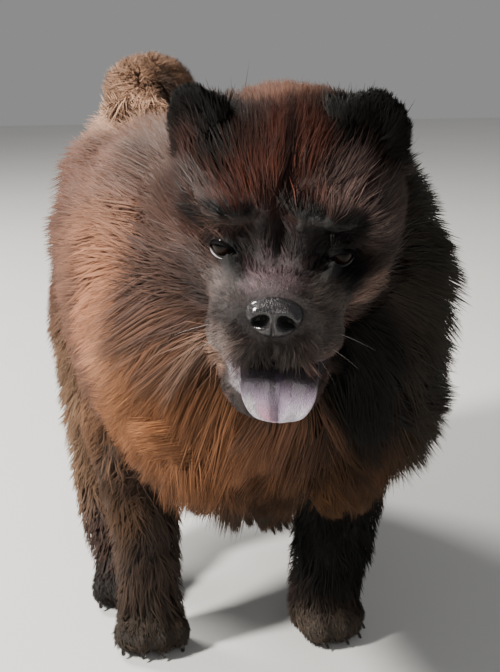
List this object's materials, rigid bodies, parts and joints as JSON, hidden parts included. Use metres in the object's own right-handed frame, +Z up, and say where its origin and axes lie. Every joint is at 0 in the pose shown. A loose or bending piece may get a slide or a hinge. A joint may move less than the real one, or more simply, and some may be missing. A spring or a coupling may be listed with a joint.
{
  "type": "chow chow",
  "caption": "Life-size still model of a long-coated chow chow walking, with deep ruff, curled tail plume, small round-tipped ears and its tongue out, standing on the floor",
  "frame": {"origin": "on the floor, under the middle of the model's box", "axes": "+Z up, the dog faces -Y, its left side is at +X"},
  "size_m": [0.3626, 0.7898, 0.5684],
  "materials": {
    "body_coat": "long soft brown coat",
    "ruff_coat": "long copper-brown ruff and chest",
    "leg_coat": "short dark grizzled coat",
    "mask_fur": "short black fur",
    "nose_leather": "black, moist",
    "tongue": "pale lavender, wet",
    "eye": "dark brown, glossy"
  },
  "bodies": {
    "root": {"head": "mask_fur", "jaw": "mask_fur", "nose": "nose_leather", "tongue": "tongue", "eye_left": "eye", "eye_right": "eye", "ear_left": "mask_fur", "ear_right": "mask_fur", "neck": "ruff_coat", "torso": "body_coat", "tail": "body_coat", "foreleg_left": "leg_coat", "foreleg_right": "leg_coat", "thigh_left": "body_coat", "thigh_right": "body_coat", "hock_left": "leg_coat", "hock_right": "leg_coat", "paw_fore_left": "leg_coat", "paw_fore_right": "leg_coat", "paw_hind_left": "leg_coat", "paw_hind_right": "leg_coat"}
  },
  "joints": []
}
